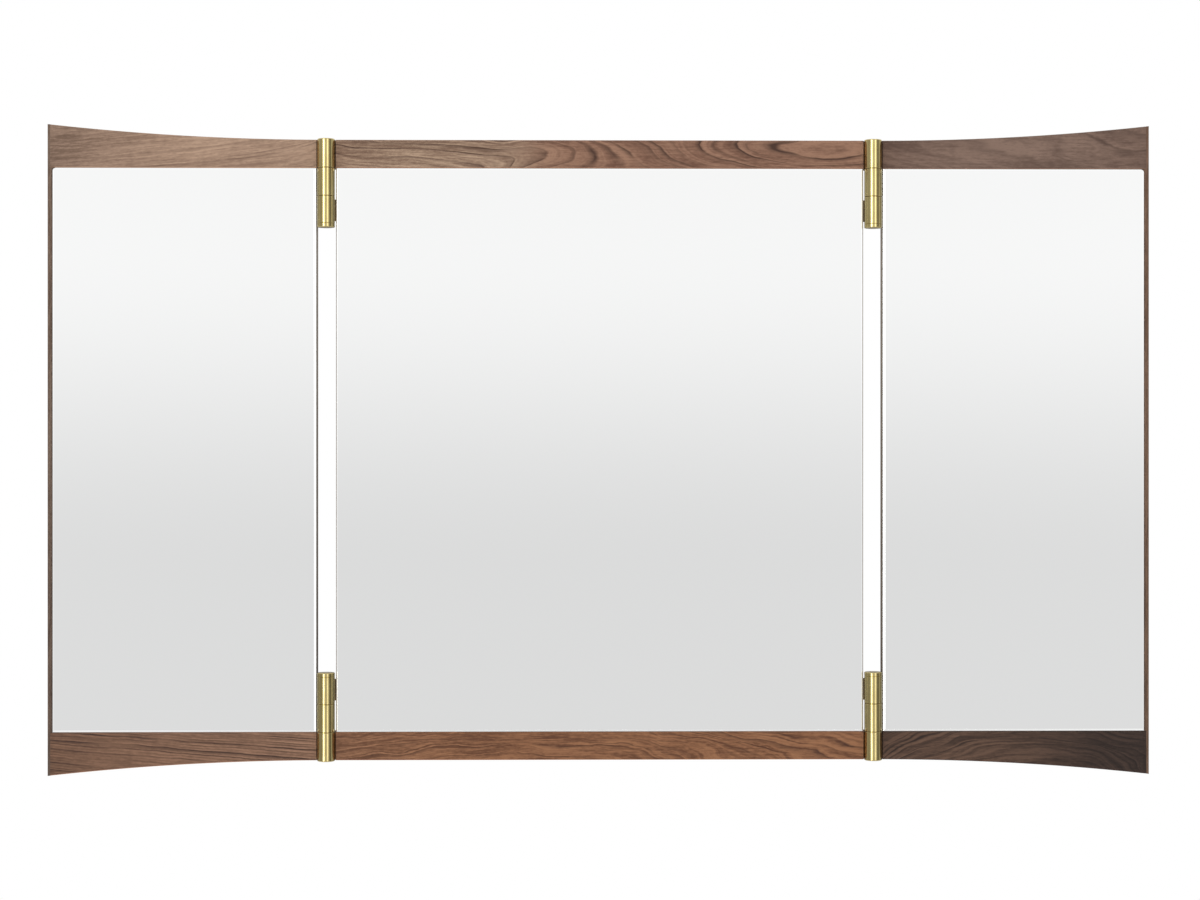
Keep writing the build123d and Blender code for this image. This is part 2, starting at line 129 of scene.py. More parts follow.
def use(nodes, group, **values):
    """Places a group in a material. A space in an input's name is written as _."""
    node = nodes.add("ShaderNodeGroup", node_tree=bpy.data.node_groups[group])
    for label, value in values.items():
        nodes.put(node.inputs[label.replace("_", " ")], value)
    return node.outputs


def new_material(name):
    """An empty node material. Gives it, its Nodes and its object coordinates and normal."""
    material = bpy.data.materials.new(name)
    material.use_nodes = True
    material.node_tree.nodes.clear()
    nodes = Nodes(material.node_tree)
    place = nodes.add("ShaderNodeTexCoord").outputs
    return material, nodes, place


def surface(nodes, height=None, depth=None, **values):
    """Ends a material with one Principled BSDF. A height, if any, goes through a Bump of that depth in metres."""
    shader = nodes.add("ShaderNodeBsdfPrincipled")
    for label, value in values.items():
        nodes.put(shader.inputs[label.replace("_", " ")], value)
    if height is not None:
        bump = nodes.add("ShaderNodeBump", {"Height": height, "Distance": depth})
        nodes.put(shader.inputs["Normal"], bump.outputs[0])
    end = nodes.add("ShaderNodeOutputMaterial")
    nodes.put(end.inputs["Surface"], shader.outputs[0])


def dress(material, *names):
    """Gives CAD nodes a material in place of the plain one that they came with."""
    for name in names:
        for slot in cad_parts[name].material_slots:
            slot.material = material


def named(*ends):
    """The CAD nodes whose names end in one of these words."""
    return [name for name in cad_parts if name.endswith(ends)]


# Shared effect: the slow wandering of wood's lines
def make_grain_wander():
    """Moves a point by smooth noise, with a small ripple on top. The noise changes over Length along the board and
    over a third of it across. Reach and Ripple are how far the two move the point, in metres."""
    nodes, entry, leave = new_group(
        "grain wander",
        [("Point", "Vector", (0, 0, 0)), ("Reach", "Float", 0.008), ("Length", "Float", 0.12),
         ("Ripple", "Float", 0.001)],
        [("Point", "Vector")])
    point = entry["Point"]
    middle = (0.5, 0.5, 0.5)
    along = nodes.math("DIVIDE", 1.0, entry["Length"])
    across = nodes.math("MULTIPLY", along, 3.0)
    slow = nodes.lumps(point, nodes.join(along, across, across), detail=1.0, roughness=0.4, colour=True)
    drift = nodes.vector("SUBTRACT", slow, middle)
    reach = nodes.math("MULTIPLY", entry["Reach"], 2.0)
    quick = nodes.lumps(point, (45.0, 150.0, 150.0), colour=True)
    ripple = nodes.vector("SUBTRACT", quick, middle)
    size = nodes.math("MULTIPLY", entry["Ripple"], 2.0)
    moved = nodes.vector("ADD", point, nodes.vector("MULTIPLY", drift, nodes.join(reach, reach, reach)))
    leave("Point", nodes.vector("ADD", moved, nodes.vector("MULTIPLY", ripple, nodes.join(size, size, size))))


# Shared effect: the growth rings, fibres and pores of sawn wood
def make_wood_grain():
    """Rings is a ring count that runs on over the board. Each ring darkens towards its late edge, some rings more
    than others. Fibres and pores are noise drawn out along the board, bands are rings of their own tone, and clouds
    are broad changes of tone. Lines, Bands, Fibres, Pores and Clouds say how strong each is."""
    nodes, entry, leave = new_group(
        "wood grain",
        [("Point", "Vector", (0, 0, 0)), ("Rings", "Float", 0.0), ("Light", "Color", tone(150, 118, 94)),
         ("Middle", "Color", tone(124, 92, 70)), ("Dark", "Color", tone(78, 54, 42)), ("Lines", "Float", 0.6),
         ("Bands", "Float", 0.5), ("Fibres", "Float", 0.5), ("Pores", "Float", 0.4), ("Clouds", "Float", 0.4)],
        [("Color", "Color"), ("Roughness", "Float"), ("Height", "Float")])
    steepness, late_end = 2.6, (0.8, 1.0)
    ring_strength, patch_strength = (0.4, 1.7), (0.35, 1.3)
    oiled, fibre_rough, pore_rough = 0.42, 0.14, 0.15
    fibre_relief, late_relief = 0.35, 0.2
    point = entry["Point"]
    rings = entry["Rings"]
    uneven = nodes.noise(nodes.join(rings, 0.0, 0.0), scale=0.7, detail=1.0)
    rings = nodes.math("ADD", rings, nodes.math("MULTIPLY", uneven, 1.5))
    share = nodes.math("FRACT", rings)
    count = nodes.math("FLOOR", rings)
    ring_mark = nodes.add("ShaderNodeTexWhiteNoise", {"W": count}, noise_dimensions="1D").outputs["Value"]
    late = nodes.math("MULTIPLY", nodes.math("POWER", share, steepness), nodes.ramp(share, *late_end, 1.0, 0.0))
    late = nodes.math("MULTIPLY", late, nodes.ramp(ring_mark, 0.1, 1.0, *ring_strength))
    patch = nodes.lumps(point, (16.0, 70.0, 70.0))
    late = nodes.math("MULTIPLY", late, nodes.ramp(patch, 0.3, 0.62, *patch_strength))
    fibre = nodes.lumps(point, (26.0, 520.0, 520.0), detail=4.0, roughness=0.7)
    mottle = nodes.lumps(point, (150.0, 420.0, 420.0), roughness=0.6)
    cloud = nodes.lumps(point, (5.0, 34.0, 34.0), detail=3.0)
    slide = nodes.math("MULTIPLY", nodes.split(point)[0], 9.0)
    band = nodes.noise(nodes.join(rings, slide, 0.0), scale=1.4, detail=3.0, roughness=0.65)
    pore = nodes.lumps(point, (140.0, 1900.0, 1900.0), detail=1.0)
    pore = nodes.math("MULTIPLY", nodes.ramp(pore, 0.58, 0.74), nodes.ramp(share, 0.0, 0.7, 1.0, 0.4))

    def swing(value, weight, gain):
        """What a noise adds to the tone: its distance from 0.5, times its strength on this board, times a gain that
        evens out how far the noises swing."""
        return nodes.math("MULTIPLY", nodes.math("SUBTRACT", value, 0.5), nodes.math("MULTIPLY", weight, gain))

    pale = nodes.math("ADD", swing(fibre, entry["Fibres"], 4.2), swing(cloud, entry["Clouds"], 3.6))
    pale = nodes.math("ADD", pale, nodes.math("ADD", swing(band, entry["Bands"], 4.0),
                                              swing(mottle, entry["Fibres"], 2.4)))
    base = nodes.blend(nodes.math("ADD", pale, 0.5, clamp=True), entry["Middle"], entry["Light"])
    dark = nodes.math("MULTIPLY", late, entry["Lines"], clamp=True)
    base = nodes.blend(dark, base, entry["Dark"])
    pores = nodes.math("MULTIPLY", pore, entry["Pores"], clamp=True)
    leave("Color", nodes.blend(pores, base, entry["Dark"]))
    rough = nodes.math("ADD", oiled, nodes.math("MULTIPLY", fibre, fibre_rough))
    leave("Roughness", nodes.math("ADD", rough, nodes.math("MULTIPLY", pores, pore_rough)))
    relief = nodes.math("ADD", nodes.math("MULTIPLY", fibre, fibre_relief),
                        nodes.math("MULTIPLY", late, late_relief))
    leave("Height", nodes.math("SUBTRACT", relief, pore))


# Shared effect: the narrow slanted faces along the edges
def make_arris_mask():
    """A face is on an arris of the front or the back where its normal lies between y and one of the other main
    directions. The mask goes from 0 to 1 where y * x + y * z, taken without signs, goes from 0.2 to 0.45."""
    nodes, entry, leave = new_group("arris mask", [("Normal", "Vector", (0, 0, 1))], [("Mask", "Float")])
    side = nodes.split(nodes.vector("ABSOLUTE", entry["Normal"]))
    cross = nodes.math("MULTIPLY", side[1], side[2])
    turn = nodes.math("MULTIPLY", side[0], side[1])
    leave("Mask", nodes.ramp(nodes.math("ADD", cross, turn), 0.2, 0.45))


# Shared effect: fine parallel lines left by drawing, brushing or rolling
def make_drawn_lines():
    """Noise with Stretch lumps to the metre, so that it runs as lines along the direction with the smallest part.
    Bands are a second set, about four and a half times as coarse."""
    nodes, entry, leave = new_group(
        "drawn lines", [("Point", "Vector", (0, 0, 0)), ("Stretch", "Vector", (1500, 1500, 8))],
        [("Lines", "Float"), ("Bands", "Float")])
    fine = nodes.vector("MULTIPLY", entry["Point"], entry["Stretch"])
    coarse = nodes.vector("MULTIPLY", fine, (0.22, 0.22, 0.22))
    leave("Lines", nodes.noise(fine, detail=3.0, roughness=0.6))
    leave("Bands", nodes.noise(coarse))


# Shared effect: dust, wipe marks and dull spots
def make_dull_marks():
    """Soft clouds about Size metres long and specks a fortieth of that, each as a share of 0 to 1."""
    nodes, entry, leave = new_group(
        "dull marks", [("Point", "Vector", (0, 0, 0)), ("Size", "Float", 0.05)],
        [("Clouds", "Float"), ("Specks", "Float")])
    scaled = nodes.vector("DIVIDE", entry["Point"], nodes.join(entry["Size"], entry["Size"], entry["Size"]))
    cloud = nodes.noise(scaled, detail=4.0, roughness=0.6)
    speck = nodes.noise(nodes.vector("MULTIPLY", scaled, (40.0, 40.0, 40.0)), detail=1.0)
    leave("Clouds", nodes.ramp(cloud, 0.35, 0.7))
    leave("Specks", nodes.ramp(speck, 0.7, 0.8))


make_grain_wander()
make_wood_grain()
make_arris_mask()
make_drawn_lines()
make_dull_marks()


def smooth_curve(nodes, share, *stations):
    """A value that changes smoothly with share. Stations are (share, value), and the curve passes through each."""
    node = nodes.add("ShaderNodeFloatCurve", {"Value": share})
    node.mapping.use_clip = False
    curve = node.mapping.curves[0]
    first, last = stations[0], stations[-1]
    curve.points[0].location = first
    curve.points[1].location = last
    for station in stations[1:-1]:
        curve.points.new(*station)
    node.mapping.update()
    return node.outputs[0]


# How many rings a metre into the wood adds, and a curve that stays at nothing
RINGS_INTO_WOOD = 220.0
LEVEL = ((0, 0.0), (1, 0.0))


def walnut(board, near, far, dark, turning, rings, slope, bend=LEVEL, reach=0.004, wander=0.1, ripple=0.0008,
           lean=0.0, upright=False, **grain):
    """Oiled walnut for one board. The ring count on its face is rings + slope * w + bend * w * w, where w is the
    distance from the board's middle line in half rail heights. All three are curves along the board, from its left
    end, or from its top where it is upright. Reach, wander and ripple say how far the lines stray, over what
    length, and how far they shake. Near and far are pairs of a light and a middle tone, and turning is a curve
    along the board from near at 0 to far at 1. Lean is how many degrees the fibres rise to the right. The arrises
    get a painted highlight that is paler than the face. The lower ones get a stronger, warmer painted highlight
    that offsets their shade. What is left in grain goes to the wood grain group."""
    relief, gloss = 0.00012, 0.2
    # Painted highlight on the arrises: its share on each, what it adds on downward-facing ones, and how much warmer
    # it is there
    arris_highlight, under_highlight, highlight_warmth = 0.35, 0.5, (1.4, 1.24, 1.12, 1.0)
    material, nodes, place = new_material("walnut " + board.replace("_", " "))
    low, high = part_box(board)
    turn = math.radians(90) if upright else 0.0
    point = nodes.add("ShaderNodeMapping", {"Vector": place["Object"], "Location": (low + high) / 2,
                                            "Rotation": (0.0, turn, 0.0)}, vector_type="TEXTURE").outputs[0]
    length = (high.z - low.z) if upright else (high.x - low.x)
    moved = nodes.split(use(nodes, "grain wander", Point=point, Reach=reach, Length=wander,
                            Ripple=ripple)["Point"])
    share = nodes.math("ADD", nodes.math("DIVIDE", moved[0], length), 0.5)
    lift = nodes.math("DIVIDE", moved[2], RAIL_H / 2)
    count = nodes.math("MULTIPLY", smooth_curve(nodes, share, *slope), lift)
    count = nodes.math("ADD", count, smooth_curve(nodes, share, *rings))
    arch = nodes.math("MULTIPLY", smooth_curve(nodes, share, *bend), nodes.math("MULTIPLY", lift, lift))
    count = nodes.math("ADD", nodes.math("ADD", count, arch), nodes.math("MULTIPLY", moved[1], RINGS_INTO_WOOD))
    change = smooth_curve(nodes, share, *turning)
    fibres = nodes.add("ShaderNodeMapping", {"Vector": point, "Rotation": (0.0, -math.radians(lean), 0.0)},
                       vector_type="TEXTURE").outputs[0]
    wood = use(nodes, "wood grain", Point=fibres, Rings=count, Light=nodes.blend(change, near[0], far[0]),
               Middle=nodes.blend(change, near[1], far[1]), Dark=dark, **grain)
    # Painted highlight: arrises are blended paler, and the downward-facing lower ones more and warmer, standing in
    # for light catching the edges
    edge = use(nodes, "arris mask", Normal=place["Normal"])["Mask"]
    under = nodes.ramp(nodes.split(place["Normal"])[2], -0.2, -0.5)
    under_highlight_tone = tuple(part * gain for part, gain in zip(far[0], highlight_warmth))
    highlight_share = nodes.math("MULTIPLY", edge, nodes.math("ADD", nodes.math("MULTIPLY", under, under_highlight), arris_highlight))
    wood_with_highlights = nodes.blend(highlight_share, wood["Color"], nodes.blend(under, far[0], under_highlight_tone))
    surface(nodes, height=wood["Height"], depth=relief, Base_Color=wood_with_highlights, Roughness=wood["Roughness"],
            Specular_IOR_Level=gloss)
    return material


# Camera: as far from the mirror as the photo's perspective, a little left of the middle. The view is VIEW_WIDTH
# metres wide at the front of the wood
CAMERA_AWAY = 2.6
CAMERA_TURN = math.radians(0.8)
VIEW_WIDTH = 1.3073
SENSOR = 36.0
camera = bpy.data.objects.new("camera", bpy.data.cameras.new("camera"))
bpy.context.scene.collection.objects.link(camera)
camera.data.sensor_width = SENSOR
camera.data.lens = SENSOR * CAMERA_AWAY / VIEW_WIDTH
aim = Vector((0.0, WOOD_FRONT, PANEL_MID))
away = Vector((-math.sin(CAMERA_TURN), -math.cos(CAMERA_TURN), 0.0)) * CAMERA_AWAY
camera.location = aim + away
camera.rotation_mode = "QUATERNION"
camera.rotation_quaternion = (-away).to_track_quat("-Z", "Y")
bpy.context.scene.camera = camera
bpy.context.scene.view_settings.view_transform = "Standard"


# The studio's upright screens: bearing in degrees from straight out of the mirror, right positive, and the level
# there as a share of the plain wall's. From -14 to 14 degrees is what the panes show to the camera. The bright
# strips at -25 and 25 give the barrels their two streaks
SCREENS = ((-180, 0.3), (-150, 0.36), (-122, 0.6), (-95, 0.62), (-64, 0.44), (-51, 0.42), (-46, 1.05), (-39, 1.1),
           (-33, 1.15), (-25, 7.5), (-18, 1.7), (-14, 1.0), (14, 1.0), (18, 1.3), (25, 2.9), (32, 1.15), (38, 1.1),
           (46, 1.05), (52, 0.16), (64, 0.14), (72, 0.5), (95, 0.66), (122, 0.6), (150, 0.36), (180, 0.3))


def make_world():
    """White to the camera. Glossy rays see a studio. Its wall is a shade darker low than high, and paler well above
    and below. Near the horizon its level is multiplied by the screens, which behind the mirror are darker low and
    brighter high. Everything else is lit by one plain level."""
    wall_low, wall_high = (-2.9, 0.751), (4.9, 0.974)  # a ray's height in degrees, and the wall's level there
    plain_level = 0.78
    white = (1, 1, 1, 1)
    world = bpy.data.worlds.new("studio")
    world.use_nodes = True
    world.node_tree.nodes.clear()
    bpy.context.scene.world = world
    nodes = Nodes(world.node_tree)
    ray = nodes.split(nodes.add("ShaderNodeTexCoord").outputs["Generated"])
    up = ray[2]  # the sine of the ray's height
    level = nodes.ramp(up, math.sin(math.radians(wall_low[0])), math.sin(math.radians(wall_high[0])),
                       wall_low[1], wall_high[1])
    tilt = nodes.math("ABSOLUTE", up)
    steep = nodes.math("MULTIPLY", nodes.ramp(tilt, 0.2, 0.38), nodes.ramp(tilt, 0.62, 0.8, 1.0, 0.35))
    level = nodes.math("ADD", level, nodes.math("MULTIPLY", nodes.math("SUBTRACT", 1.0, level), steep))
    bearing = nodes.math("ARCTAN2", ray[0], nodes.math("MULTIPLY", ray[1], -1.0))
    share = nodes.math("ADD", nodes.math("DIVIDE", bearing, 2 * math.pi), 0.5)
    screen = smooth_curve(nodes, share, *[(angle / 360 + 0.5, value) for angle, value in SCREENS])
    behind = nodes.ramp(nodes.math("ABSOLUTE", bearing), math.radians(95), math.radians(150))
    behind = nodes.math("MULTIPLY", behind, nodes.ramp(up, -0.09, 0.1, -0.7, 1.2))
    screen = nodes.math("MULTIPLY", screen, nodes.math("ADD", 1.0, behind))
    level_ray = nodes.ramp(tilt, 0.16, 0.26, 1.0, 0.0)
    screen = nodes.math("ADD", 1.0, nodes.math("MULTIPLY", nodes.math("SUBTRACT", screen, 1.0), level_ray))
    level = nodes.math("MULTIPLY", level, screen)
    path = nodes.add("ShaderNodeLightPath").outputs
    light = nodes.blend(path["Is Glossy Ray"], (plain_level, plain_level, plain_level, 1), level)
    light = nodes.blend(path["Is Camera Ray"], light, white)
    back = nodes.add("ShaderNodeBackground", {"Color": light, "Strength": 1.0})
    end = nodes.add("ShaderNodeOutputWorld")
    nodes.put(end.inputs["Surface"], back.outputs[0])


def soft_lamp(name, spot, width, height, radiance):
    """A rectangular lamp of that size in metres, turned to the mirror's middle and not seen in its panes. Its power
    is radiance times pi times its area."""
    lamp = bpy.data.lights.new(name, "AREA")
    lamp.shape = "RECTANGLE"
    lamp.size, lamp.size_y = width, height
    lamp.energy = radiance * math.pi * width * height
    holder = bpy.data.objects.new(name, lamp)
    bpy.context.scene.collection.objects.link(holder)
    holder.location = spot
    holder.rotation_mode = "QUATERNION"
    holder.rotation_quaternion = (Vector((0, 0, PANEL_MID)) - Vector(spot)).to_track_quat("-Z", "Y")
    holder.visible_glossy = False


make_world()
soft_lamp("key lamp", spot=(-1.6, -2.6, 1.9), width=1.6, height=1.2, radiance=1.6)
soft_lamp("fill lamp", spot=(2.0, -2.4, 0.9), width=1.2, height=1.6, radiance=0.8)


# Floor: pale, well below the mirror, fading to white at its rim
def make_floor():
    """A round pale sheet, drop metres below the mirror. Its points lie at equal steps of angle on circles at equal
    steps of radius, and one lies in the middle. Towards the rim its colour goes over to glowing white, so that no
    edge shows."""
    radius, drop, turns, rings = 1.3, 0.4, 96, 2
    fade = (0.45, 0.97)  # where the colour starts to change and where it is white, as shares of the radius
    angle = np.linspace(0, 2 * np.pi, turns, endpoint=False)
    reach = np.linspace(0, radius, rings + 1)[1:]
    ring = np.stack([np.outer(reach, np.cos(angle)), np.outer(reach, np.sin(angle)),
                     np.zeros((rings, turns))], axis=-1).reshape(-1, 3)
    points = np.vstack([ring, [[0, 0, 0]]]) + np.array([0, 0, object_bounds()[0].z - drop])
    step = np.arange(turns)
    after = (step + 1) % turns
    faces = [(int(a), int(b), rings * turns) for a, b in zip(step, after)]
    faces += [(int(a), int(a + turns), int(b + turns), int(b)) for a, b in zip(step, after)]
    mesh = bpy.data.meshes.new("floor")
    mesh.from_pydata(points.tolist(), [], faces)
    floor = bpy.data.objects.new("floor", mesh)
    bpy.context.scene.collection.objects.link(floor)
    material, nodes, place = new_material("pale floor")
    spread = nodes.vector("MULTIPLY", place["Object"], (1 / radius, 1 / radius, 0.0))
    rim = nodes.ramp(nodes.vector("LENGTH", spread), *fade)
    paint = nodes.add("ShaderNodeBsdfDiffuse", {"Color": (0.93, 0.93, 0.93, 1)})
    white = nodes.add("ShaderNodeEmission", {"Color": (1, 1, 1, 1), "Strength": 1.0})
    mixed = nodes.add("ShaderNodeMixShader", {0: rim, 1: paint.outputs[0], 2: white.outputs[0]})
    end = nodes.add("ShaderNodeOutputMaterial")
    nodes.put(end.inputs["Surface"], mixed.outputs[0])
    floor.data.materials.append(material)


make_floor()

# Walnut, rail by rail. walnut() says what each word means
RAILS = {
    "left_wing_top_rail": dict(
        near=(tone(166, 138, 119), tone(123, 99, 83)), far=(tone(194, 162, 138), tone(156, 127, 107)),
        dark=tone(92, 70, 57), turning=((0, 0.0), (0.25, 0.5), (0.5, 0.95), (1, 1.0)),
        rings=((0, 0.0), (0.5, -2.0), (1, -6.5)), slope=((0, 3.2), (0.5, 3.4), (1, 2.6)),
        bend=((0, 0.0), (1, 0.5)), lean=6.0, Lines=0.5, Bands=0.55, Clouds=0.5, Fibres=0.6),
    "centre_top_rail": dict(
        near=(tone(194, 165, 140), tone(136, 109, 90)), far=(tone(165, 126, 103), tone(116, 82, 66)),
        dark=tone(76, 53, 43), turning=((0, 0.35), (0.1, 0.1), (0.3, 0.1), (0.41, 0.9), (0.5, 1.0), (1, 1.0)),
        rings=((0, 0.0), (0.18, 3.4), (0.32, 4.0), (0.38, 4.9), (0.45, 6.9), (0.6, 11.5), (0.74, 16.4),
               (0.86, 19.4), (0.92, 19.8), (1, 18.4)),
        slope=((0, 3.2), (0.32, 2.6), (0.42, 0.4), (0.55, 1.0), (0.75, 1.8), (1, 1.4)),
        bend=((0, 0.0), (0.28, 0.8), (0.36, 2.6), (0.45, 1.4), (0.6, 0.0), (0.85, -1.8), (1, -1.8)),
        Lines=0.9, Bands=0.7, Clouds=0.5, Fibres=0.45),
    "right_wing_top_rail": dict(
        near=(tone(120, 95, 82), tone(90, 68, 58)), far=(tone(142, 117, 103), tone(108, 86, 75)),
        dark=tone(70, 52, 45), turning=((0, 0.0), (0.55, 1.0), (1, 0.5)),
        rings=((0, 0.5), (0.5, 2.6), (1, 4.4)), slope=((0, 0.9), (1, 0.8)),
        reach=0.006, ripple=0.0012, Lines=0.5, Bands=0.7, Clouds=0.7, Fibres=0.5),
    "left_wing_bottom_rail": dict(
        near=(tone(141, 106, 84), tone(102, 74, 58)), far=(tone(170, 131, 106), tone(126, 95, 76)),
        dark=tone(64, 45, 38), turning=((0, 0.0), (1, 1.0)),
        rings=((0, 0.0), (0.5, 4.0), (1, 7.4)), slope=((0, 5.2), (1, 4.6)),
        reach=0.0025, lean=-5.0, Lines=1.15, Bands=0.55, Clouds=0.25),
    "centre_bottom_rail": dict(
        near=(tone(172, 130, 102), tone(124, 88, 66)), far=(tone(162, 114, 81), tone(110, 72, 50)),
        dark=tone(70, 44, 34), turning=((0, 0.0), (0.3, 1.0), (1, 1.0)),
        rings=((0, 0.0), (0.22, -5.0), (0.3, -6.0), (0.5, -5.6), (0.62, -2.0), (0.8, 4.4), (1, 9.0)),
        slope=((0, 3.5), (0.4, 5.0), (0.6, 3.6), (1, 2.8)), bend=((0, 0.0), (0.6, 0.8), (1, 0.0)),
        reach=0.006, wander=0.05, ripple=0.0013, Lines=0.75, Bands=0.85, Clouds=0.4, Fibres=0.6),
    "right_wing_bottom_rail": dict(
        near=(tone(114, 87, 71), tone(70, 52, 42)), far=(tone(66, 51, 44), tone(40, 30, 26)),
        dark=tone(34, 25, 21), turning=((0, 0.0), (0.45, 0.25), (0.8, 0.85), (1, 1.0)),
        rings=((0, 11.0), (0.1, 7.0), (0.25, 3.6), (0.42, 1.4), (0.6, 0.6), (0.75, 1.4), (0.88, 4.2), (1, 6.0)),
        slope=((0, 2.2), (0.5, 3.0), (1, 2.0)), bend=((0, 0.0), (0.8, 0.3), (1, 1.0)), reach=0.005, wander=0.06,
        Lines=0.8, Bands=0.85, Clouds=0.3, Fibres=0.35),
}
for board, look in RAILS.items():
    dress(walnut(board, **look), board)

# Walnut stiles and edge strips, all with straight lines: light and middle tone at the top, then at the foot. The
# foot
# # tones are darker. On the wing inner edges that darkening is painted shade, for light falling from above
STRIPS = {
    "left_wing_outer_stile": ((138, 117, 101), (104, 84, 70), (108, 90, 78), (78, 62, 52)),
    "right_wing_outer_stile": ((138, 107, 89), (104, 78, 62), (120, 94, 76), (86, 65, 51)),
    "left_wing_inner_edge": ((166, 152, 134), (130, 115, 99), (88, 74, 62), (60, 48, 40)),
    "right_wing_inner_edge": ((166, 152, 134), (130, 115, 99), (114, 101, 88), (84, 71, 60)),
    "centre_left_edge": ((182, 170, 160), (152, 138, 128), (176, 162, 151), (146, 131, 121)),
    "centre_right_edge": ((182, 170, 160), (152, 138, 128), (176, 162, 151), (146, 131, 121)),
}
for board, (top_light, top_middle, foot_light, foot_middle) in STRIPS.items():
    dress(walnut(board, near=(tone(*top_light), tone(*top_middle)), far=(tone(*foot_light), tone(*foot_middle)),
                 dark=tone(66, 48, 40), turning=((0, 0.0), (1, 1.0)), rings=((0, 0.0), (1, 6.0)),
                 slope=((0, 3.0), (1, 3.0)), upright=True, Lines=0.5), board)


# Mirror panes: silvered front and bevels, a ground seam beside the hinge gaps, ground edges and a painted back
SILVER = (0.957, 0.961, 0.959, 1)
POLISHED, GROUND = 0.012, 0.45  # roughness


def make_mirror(board, seam_tones, seam_w):
    """The front is told from the back and the edges by the normal. The seam is the outermost seam_w metres of the
    upright bevels beside the hinge gaps. It is found from the distance to the pane's side nearest the mirror's
    middle, or to either side of the centre pane."""
    seam_fade = 0.0002
    material, nodes, place = new_material("silvered glass " + board)
    low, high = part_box(board)
    gap_side = min(abs(low.x), abs(high.x))
    facing = nodes.split(place["Normal"])[1]
    silver = nodes.ramp(facing, -0.5, -0.7)
    back = nodes.ramp(facing, 0.5, 0.7)
    sideways = nodes.math("ABSOLUTE", nodes.split(place["Object"])[0])
    border = nodes.math("ABSOLUTE", nodes.math("SUBTRACT", sideways, gap_side))
    seam = nodes.ramp(border, seam_w, seam_w + seam_fade, 1.0, 0.0)
    marks = use(nodes, "dull marks", Point=place["Object"], Size=0.03)
    ground = nodes.blend(nodes.math("MULTIPLY", marks["Clouds"], 0.5), *seam_tones)
    paint = nodes.blend(marks["Clouds"], tone(112, 118, 116), tone(126, 131, 128))
    colour = nodes.blend(back, ground, paint)
    silver = nodes.math("MULTIPLY", silver, nodes.math("SUBTRACT", 1.0, seam))
    colour = nodes.blend(silver, colour, SILVER)
    rough = nodes.ramp(silver, 0.0, 1.0, GROUND, POLISHED)
    surface(nodes, Base_Color=colour, Metallic=silver, Roughness=rough)
    return material


centre_seam = dict(seam_tones=(tone(172, 164, 157), tone(186, 179, 172)), seam_w=0.0009)
wing_seam = dict(seam_tones=(tone(212, 211, 207), tone(224, 223, 220)), seam_w=0.0006)
for pane, seam in (("centre_mirror", centre_seam), ("left_wing_mirror", wing_seam),
                   ("right_wing_mirror", wing_seam)):
    dress(make_mirror(pane, **seam), pane)


# Satin brass of the hinges: polished and drawn on the barrel. The leaves are unpolished and painted dark brown as
# painted shade
def make_brass():
    """The barrel is what lies within its radius of the hinge axis, found from the distance to the axis, and the
    rest is leaf, coloured dark brown as painted shade. The barrel's end faces are browner and rougher, told by the
    normal."""
    polished, drawn_more, raw_more = 0.08, 0.12, 0.25  # roughness, and what drawn lines and raw faces add
    material, nodes, place = new_material("satin brass")
    drawn = use(nodes, "drawn lines", Point=place["Object"], Stretch=(1400.0, 1400.0, 9.0))
    marks = use(nodes, "dull marks", Point=place["Object"], Size=0.02)
    spot = nodes.split(place["Object"])
    across = nodes.math("SUBTRACT", nodes.math("ABSOLUTE", spot[0]), BARREL_AXIS.x)
    into = nodes.math("SUBTRACT", spot[1], BARREL_AXIS.y)
    away = nodes.vector("LENGTH", nodes.join(across, into, 0.0))
    leaf = nodes.ramp(away, BARREL_R + 0.0001, BARREL_R + 0.0005)
    colour = nodes.blend(drawn["Bands"], tone(190, 172, 116), tone(208, 192, 138))
    colour = nodes.blend(nodes.math("MULTIPLY", marks["Clouds"], 0.3), colour, tone(172, 150, 94))
    # Painted shade: the leaves get a dark brown in place of brass, standing in for the shade they sit in beside the
    # barrel
    leaf_painted_shade = nodes.blend(marks["Clouds"], tone(90, 74, 48), tone(122, 102, 66))
    end_face = nodes.ramp(nodes.math("ABSOLUTE", nodes.split(place["Normal"])[2]), 0.75, 0.95)
    colour = nodes.blend(nodes.math("MULTIPLY", end_face, 0.75), colour, tone(96, 82, 48))
    colour = nodes.blend(leaf, colour, leaf_painted_shade)
    rough = nodes.math("ADD", polished, nodes.math("MULTIPLY", drawn["Lines"], drawn_more))
    rough = nodes.math("ADD", rough, nodes.math("MULTIPLY", nodes.math("MAXIMUM", leaf, end_face), raw_more))
    surface(nodes, height=drawn["Lines"], depth=0.000012, Base_Color=colour, Metallic=1.0, Roughness=rough)
    return material


dress(make_brass(), *named("hinge_fixed_leaf", "hinge_wing_leaf", "hinge_end_cap"))


